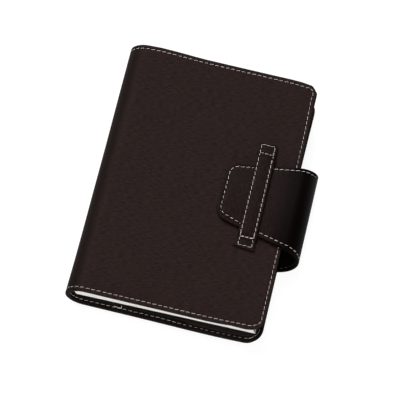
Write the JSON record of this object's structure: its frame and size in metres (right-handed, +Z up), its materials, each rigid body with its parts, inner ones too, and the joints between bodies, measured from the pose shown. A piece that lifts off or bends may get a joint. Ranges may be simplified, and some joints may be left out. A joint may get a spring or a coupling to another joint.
{
  "type": "desk diary",
  "caption": "Closed desk diary in a stitched slip-on leather cover with a round spine, a wide strap round the fore edge and a keeper that holds the strap's tongue.",
  "frame": {"origin": "the middle of the closed cover's width and height, on the back cover's outer face, which lies on the table", "axes": "+X from the round spine to the fore edge, +Y from the tail to the head, +Z up through the closed diary"},
  "size_m": [0.1768, 0.225, 0.0352],
  "materials": {
    "cover_leather": "satin dark brown leather with a fine printed grain",
    "strap_leather": "smoother, slightly glossier dark brown leather",
    "lining_leather": "matt near-black leather lining",
    "grey_board": "raw grey board",
    "case_cloth": "board covered in near-black book cloth",
    "paper": "uncoated off-white paper",
    "thread": "twisted cream sewing thread"
  },
  "bodies": {
    "back_cover": {"back_leather": "cover_leather", "back_stiffener": "grey_board", "back_lining": "lining_leather", "back_pocket": "lining_leather", "diary_back_board": "case_cloth", "back_endpaper": "paper", "section_12": "paper", "strap_tab": "strap_leather"},
    "spine_1": {"spine_leather_1": "cover_leather", "spine_lining_1": "lining_leather"},
    "spine_2": {"spine_leather_2": "cover_leather", "spine_lining_2": "lining_leather"},
    "spine_3": {"spine_leather_3": "cover_leather", "spine_lining_3": "lining_leather", "diary_spine_strip": "case_cloth"},
    "spine_4": {"spine_leather_4": "cover_leather", "spine_lining_4": "lining_leather"},
    "spine_5": {"spine_leather_5": "cover_leather", "spine_lining_5": "lining_leather"},
    "leaves_11": {"section_11": "paper"},
    "leaves_10": {"section_10": "paper"},
    "leaves_09": {"section_09": "paper"},
    "leaves_08": {"section_08": "paper"},
    "leaves_07": {"section_07": "paper"},
    "leaves_06": {"section_06": "paper"},
    "front_cover": {"front_leather": "cover_leather", "front_stiffener": "grey_board", "front_lining": "lining_leather", "front_pocket": "lining_leather", "diary_front_board": "case_cloth", "front_endpaper": "paper", "section_01": "paper", "keeper_leather": "cover_leather", "keeper_lining": "lining_leather"},
    "leaves_05": {"section_05": "paper"},
    "leaves_04": {"section_04": "paper"},
    "leaves_03": {"section_03": "paper"},
    "leaves_02": {"section_02": "paper"},
    "strap_1": {"strap_outer_1": "strap_leather", "strap_lining_1": "strap_leather"},
    "strap_2": {"strap_outer_2": "strap_leather", "strap_lining_2": "strap_leather"},
    "strap_3": {"strap_outer_3": "strap_leather", "strap_lining_3": "strap_leather"},
    "strap_4": {"strap_outer_4": "strap_leather", "strap_lining_4": "strap_leather"},
    "strap_tongue": {"tongue_outer": "strap_leather", "tongue_lining": "strap_leather"}
  },
  "joints": [
    {"name": "cover_open", "type": "hinge", "parent": "leaves_07", "child": "leaves_06", "pos_m": [-0.07407, 0, 0.01474], "axis": [0, -1, 0], "range_deg": [0, 177]},
    {"name": "leaves_shift_07", "type": "slide", "parent": "back_cover", "child": "leaves_07", "axis": [-1, 0, 0], "range_m": [0, 0.01375]},
    {"name": "front_cover_shift", "type": "slide", "parent": "leaves_06", "child": "front_cover", "axis": [1, 0, 0], "range_m": [0, 0.01375]},
    {"name": "leaves_shift_11", "type": "slide", "parent": "back_cover", "child": "leaves_11", "axis": [-1, 0, 0], "range_m": [0, 0.00275]},
    {"name": "leaves_shift_10", "type": "slide", "parent": "back_cover", "child": "leaves_10", "axis": [-1, 0, 0], "range_m": [0, 0.0055]},
    {"name": "leaves_shift_09", "type": "slide", "parent": "back_cover", "child": "leaves_09", "axis": [-1, 0, 0], "range_m": [0, 0.00825]},
    {"name": "leaves_shift_08", "type": "slide", "parent": "back_cover", "child": "leaves_08", "axis": [-1, 0, 0], "range_m": [0, 0.011]},
    {"name": "leaves_shift_02", "type": "slide", "parent": "front_cover", "child": "leaves_02", "axis": [-1, 0, 0], "range_m": [0, 0.00275]},
    {"name": "leaves_shift_03", "type": "slide", "parent": "front_cover", "child": "leaves_03", "axis": [-1, 0, 0], "range_m": [0, 0.0055]},
    {"name": "leaves_shift_04", "type": "slide", "parent": "front_cover", "child": "leaves_04", "axis": [-1, 0, 0], "range_m": [0, 0.00825]},
    {"name": "leaves_shift_05", "type": "slide", "parent": "front_cover", "child": "leaves_05", "axis": [-1, 0, 0], "range_m": [0, 0.011]},
    {"name": "spine_bend_1", "type": "hinge", "parent": "back_cover", "child": "spine_1", "pos_m": [-0.06509, 0, 0], "axis": [0, -1, 0], "range_deg": [0, 17.7]},
    {"name": "spine_bend_2", "type": "hinge", "parent": "spine_1", "child": "spine_2", "pos_m": [-0.07375, 0, 0.00282], "axis": [0, -1, 0], "range_deg": [0, 35.4]},
    {"name": "spine_bend_3", "type": "hinge", "parent": "spine_2", "child": "spine_3", "pos_m": [-0.07911, 0, 0.01019], "axis": [0, -1, 0], "range_deg": [0, 35.4]},
    {"name": "spine_bend_6", "type": "hinge", "parent": "front_cover", "child": "spine_5", "pos_m": [-0.06509, 0, 0.02948], "axis": [0, 1, 0], "range_deg": [0, 17.7]},
    {"name": "spine_bend_5", "type": "hinge", "parent": "spine_5", "child": "spine_4", "pos_m": [-0.07375, 0, 0.02666], "axis": [0, 1, 0], "range_deg": [0, 35.4]},
    {"name": "strap_release", "type": "hinge", "parent": "back_cover", "child": "strap_1", "pos_m": [0.08123, 0, 0.0013], "axis": [0, 1, 0], "range_deg": [0, 22.5]},
    {"name": "strap_bend_2", "type": "hinge", "parent": "strap_1", "child": "strap_2", "pos_m": [0.09236, 0, 0.00591], "axis": [0, 1, 0], "range_deg": [0, 45]},
    {"name": "strap_bend_3", "type": "hinge", "parent": "strap_2", "child": "strap_3", "pos_m": [0.09697, 0, 0.01704], "axis": [0, 1, 0], "range_deg": [0, 45]},
    {"name": "strap_bend_4", "type": "hinge", "parent": "strap_3", "child": "strap_4", "pos_m": [0.09236, 0, 0.02817], "axis": [0, 1, 0], "range_deg": [0, 45]},
    {"name": "strap_bend_5", "type": "hinge", "parent": "strap_4", "child": "strap_tongue", "pos_m": [0.08123, 0, 0.03278], "axis": [0, 1, 0], "range_deg": [0, 22.5]}
  ],
  "couplings": [
    {"joint": "leaves_shift_07", "follows": "cover_open", "m_per_rad": 0.0044509},
    {"joint": "front_cover_shift", "follows": "cover_open", "m_per_rad": 0.0044509},
    {"joint": "leaves_shift_11", "follows": "cover_open", "m_per_rad": 0.0008901},
    {"joint": "leaves_shift_10", "follows": "cover_open", "m_per_rad": 0.0017803},
    {"joint": "leaves_shift_09", "follows": "cover_open", "m_per_rad": 0.0026705},
    {"joint": "leaves_shift_08", "follows": "cover_open", "m_per_rad": 0.0035607},
    {"joint": "leaves_shift_02", "follows": "cover_open", "m_per_rad": 0.0008901},
    {"joint": "leaves_shift_03", "follows": "cover_open", "m_per_rad": 0.0017803},
    {"joint": "leaves_shift_04", "follows": "cover_open", "m_per_rad": 0.0026705},
    {"joint": "leaves_shift_05", "follows": "cover_open", "m_per_rad": 0.0035607},
    {"joint": "spine_bend_1", "follows": "cover_open", "ratio": 0.1},
    {"joint": "spine_bend_2", "follows": "cover_open", "ratio": 0.2},
    {"joint": "spine_bend_3", "follows": "cover_open", "ratio": 0.2},
    {"joint": "spine_bend_6", "follows": "cover_open", "ratio": 0.1},
    {"joint": "spine_bend_5", "follows": "cover_open", "ratio": 0.2},
    {"joint": "strap_bend_2", "follows": "strap_release", "ratio": 2},
    {"joint": "strap_bend_3", "follows": "strap_release", "ratio": 2},
    {"joint": "strap_bend_4", "follows": "strap_release", "ratio": 2},
    {"joint": "strap_bend_5", "follows": "strap_release", "ratio": 1}
  ]
}
